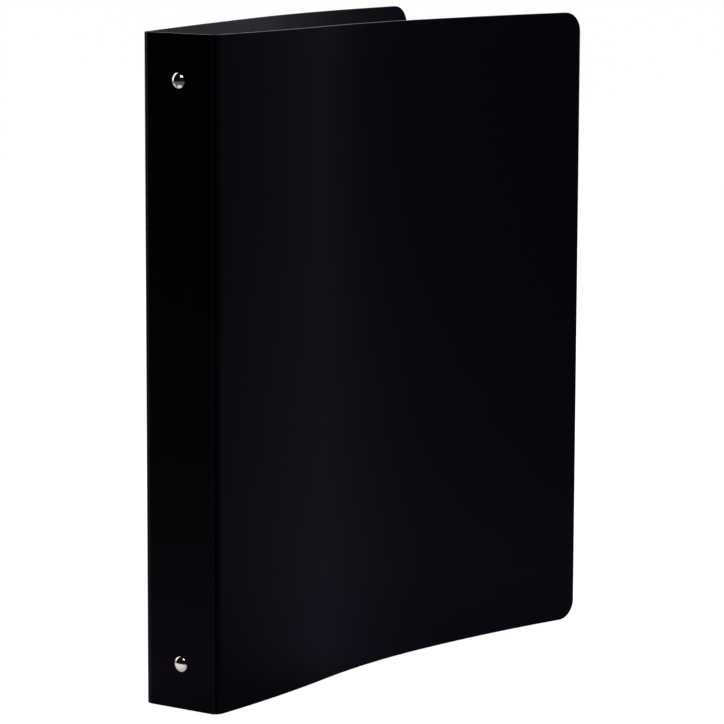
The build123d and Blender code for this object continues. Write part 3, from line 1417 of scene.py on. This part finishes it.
@dataclass(frozen=True)
class SoftBox:
    """A large soft light, aimed at the binder."""

    name: str
    azimuth: float
    distance: float
    height: float
    size: tuple[float, float]
    power: float
    colour: tuple[float, float, float] = (1.0, 1.0, 1.0)

    def make(self, target: Vector) -> bpy.types.Object:
        """Hang the light.

        Args:
            target: the point that it faces.

        Returns:
            The light.
        """
        data = bpy.data.lights.new(self.name, "AREA")
        data.shape = "RECTANGLE"
        data.size, data.size_y = self.size
        data.energy = self.power
        data.color = self.colour
        lamp = bpy.data.objects.new(self.name, data)
        angle = math.radians(self.azimuth)
        lamp.location = (
            target.x + self.distance * math.sin(angle),
            target.y + self.distance * math.cos(angle),
            self.height,
        )
        lamp.rotation_euler = (target - lamp.location).to_track_quat("-Z", "Y").to_euler()
        lamp.visible_camera = False
        bpy.context.scene.collection.objects.link(lamp)
        return lamp


@dataclass(frozen=True)
class LightPool:
    """A soft-edged glow in the floor, hidden from view, which lights the binder from below."""

    centre: tuple[float, float]
    reach: float
    glow: float
    colour: tuple[float, float, float] = (1.0, 1.0, 1.0)

    def wire(self, tree: bpy.types.NodeTree, place: bpy.types.NodeSocket) -> bpy.types.NodeSocket:
        """Lay out the pool's nodes.

        Args:
            tree: the floor material's nodes.
            place: the floor's own coordinates.

        Returns:
            The pool's coloured brightness.
        """
        offset = tree.nodes.new("ShaderNodeVectorMath")
        offset.operation = "SUBTRACT"
        offset.inputs[1].default_value = (*self.centre, 0.0)
        distance = tree.nodes.new("ShaderNodeVectorMath")
        distance.operation = "LENGTH"
        fade = tree.nodes.new("ShaderNodeMapRange")
        fade.interpolation_type = "SMOOTHSTEP"
        fade.inputs["From Min"].default_value = 0.6 * self.reach
        fade.inputs["From Max"].default_value = 1.4 * self.reach
        fade.inputs["To Min"].default_value = self.glow
        fade.inputs["To Max"].default_value = 0.0
        tree.links.new(place, offset.inputs[0])
        tree.links.new(offset.outputs["Vector"], distance.inputs[0])
        tree.links.new(distance.outputs["Value"], fade.inputs["Value"])
        tinted = tree.nodes.new("ShaderNodeVectorMath")
        tinted.operation = "SCALE"
        tinted.inputs[0].default_value = self.colour
        tree.links.new(fade.outputs["Result"], tinted.inputs["Scale"])
        return tinted.outputs["Vector"]


@dataclass(frozen=True)
class Studio:
    """The floor, the surround, the soft lights and the camera.

    Seen directly, the floor and the surround are plain white. To the light that reaches the
    binder, the surround is nearly black, and the floor is grey with tinted glows in it.
    """

    floor_reach: float = 8.0
    floor_albedo: float = 0.25
    surround: float = 0.004
    target: tuple[float, float, float] = (0.02, 0.12, 0.15)
    pools: tuple[LightPool, ...] = (
        LightPool((-0.06, -0.12), 0.14, 0.72, (0.98, 0.88, 1.04)),
        LightPool((-0.55, 0.16), 0.32, 0.70, (1.00, 0.97, 0.90)),
        LightPool((0.12, 0.20), 0.16, 0.43, (0.88, 0.82, 1.26)),
        LightPool((0.30, 0.45), 0.25, 0.30, (0.86, 0.84, 1.28)),
        LightPool((0.55, 0.90), 0.40, 0.38, (0.92, 0.82, 1.26)),
    )
    lights: tuple[SoftBox, ...] = (
        SoftBox("back_right_card", 8.0, 1.5, 0.25, (0.25, 0.5), 1.4, (0.90, 0.84, 1.0)),
        SoftBox("back_right_box", 26.0, 1.5, 0.95, (0.25, 0.8), 4.9, (0.77, 0.59, 1.0)),
        SoftBox("right_wall", 60.0, 1.5, 0.6, (0.9, 1.2), 2.0, (0.77, 0.62, 1.0)),
        SoftBox("left_front_wall", -100.0, 1.2, 0.7, (0.6, 1.3), 3.0, (1.0, 0.96, 0.90)),
        SoftBox("left_wall", -72.0, 1.2, 0.5, (1.0, 1.2), 6.5, (1.0, 0.97, 0.90)),
        SoftBox("back_left_box", -35.0, 1.3, 1.1, (1.2, 0.8), 14.0),
        SoftBox("high_lamp", 164.0, 1.2, 1.15, (0.60, 0.26), 3.0),
    )
    camera_place: tuple[float, float, float] = (0.92571, -1.18924, 0.37970)
    camera_yaw: float = -0.60999
    camera_pitch: float = 0.14997
    camera_roll: float = -0.00347
    lens: float = 177.229
    sensor: float = 36.0

    def make_floor(self) -> None:
        """Lay the floor: plain white seen directly, and grey with glowing pools otherwise."""
        bench = MeshBench()
        r = self.floor_reach
        bench.face([bench.point(Vector((x, y, 0.0))) for x, y in ((-r, -r), (r, -r), (r, r), (-r, r))])
        material = bpy.data.materials.new("white_floor")
        material.use_nodes = True
        tree = material.node_tree
        tree.nodes.clear()
        out = tree.nodes.new("ShaderNodeOutputMaterial")
        glow = tree.nodes.new("ShaderNodeEmission")
        matt = tree.nodes.new("ShaderNodeBsdfDiffuse")
        matt.inputs["Color"].default_value = (*[self.floor_albedo] * 3, 1.0)
        both = tree.nodes.new("ShaderNodeAddShader")
        place = tree.nodes.new("ShaderNodeTexCoord").outputs["Object"]
        seen = tree.nodes.new("ShaderNodeLightPath")
        pick = tree.nodes.new("ShaderNodeMix")
        pick.data_type = "VECTOR"
        pick.inputs[5].default_value = (1.0, 1.0, 1.0)
        total = None
        for pool in self.pools:
            value = pool.wire(tree, place)
            if total is not None:
                add = tree.nodes.new("ShaderNodeVectorMath")
                tree.links.new(total, add.inputs[0])
                tree.links.new(value, add.inputs[1])
                value = add.outputs[0]
            total = value
        tree.links.new(total, pick.inputs[4])
        tree.links.new(seen.outputs["Is Camera Ray"], pick.inputs["Factor"])
        tree.links.new(pick.outputs[1], glow.inputs["Color"])
        tree.links.new(glow.outputs["Emission"], both.inputs[0])
        tree.links.new(matt.outputs["BSDF"], both.inputs[1])
        tree.links.new(both.outputs["Shader"], out.inputs["Surface"])
        bench.build("floor", [material])

    def make_surround(self) -> None:
        """Set the surround: white seen directly, and nearly black otherwise."""
        world = bpy.data.worlds.new("surround")
        bpy.context.scene.world = world
        world.use_nodes = True
        tree = world.node_tree
        back = tree.nodes["Background"]
        seen = tree.nodes.new("ShaderNodeLightPath")
        pick = tree.nodes.new("ShaderNodeMix")
        pick.inputs["A"].default_value = self.surround
        pick.inputs["B"].default_value = 1.0
        back.inputs["Color"].default_value = (1.0, 1.0, 1.0, 1.0)
        tree.links.new(seen.outputs["Is Camera Ray"], pick.inputs["Factor"])
        tree.links.new(pick.outputs["Result"], back.inputs["Strength"])

    def make_lights(self) -> None:
        """Hang the soft lights."""
        for light in self.lights:
            light.make(Vector(self.target))

    def make_camera(self) -> None:
        """Set up the camera."""
        data = bpy.data.cameras.new("camera")
        data.sensor_width = self.sensor
        data.lens = self.lens
        data.clip_start = 0.05
        data.clip_end = 50.0
        camera = bpy.data.objects.new("camera", data)
        yaw, pitch = self.camera_yaw, self.camera_pitch
        ahead = Vector((math.sin(yaw) * math.cos(pitch), math.cos(yaw) * math.cos(pitch), -math.sin(pitch)))
        right = Vector((math.cos(yaw), -math.sin(yaw), 0.0))
        up = right.cross(ahead)
        turn = self.camera_roll
        right, up = (
            right * math.cos(turn) - up * math.sin(turn),
            up * math.cos(turn) + right * math.sin(turn),
        )
        basis = Matrix((right, up, -ahead)).transposed().to_4x4()
        camera.matrix_world = Matrix.Translation(self.camera_place) @ basis
        bpy.context.scene.collection.objects.link(camera)
        bpy.context.scene.camera = camera

    def make(self) -> None:
        """Make the whole studio."""
        bpy.context.scene.view_settings.view_transform = "Standard"
        self.make_floor()
        self.make_surround()
        self.make_lights()
        self.make_camera()
        LOG.info("set up the studio")


def main() -> None:
    """Build the binder and its studio."""
    logging.basicConfig(level=logging.INFO, format="%(message)s")
    finishes = FinishSet.mix()
    CoverSheet(finishes).make()
    Mechanism(finishes).make()
    Studio().make()


if __name__ == "__main__":
    main()
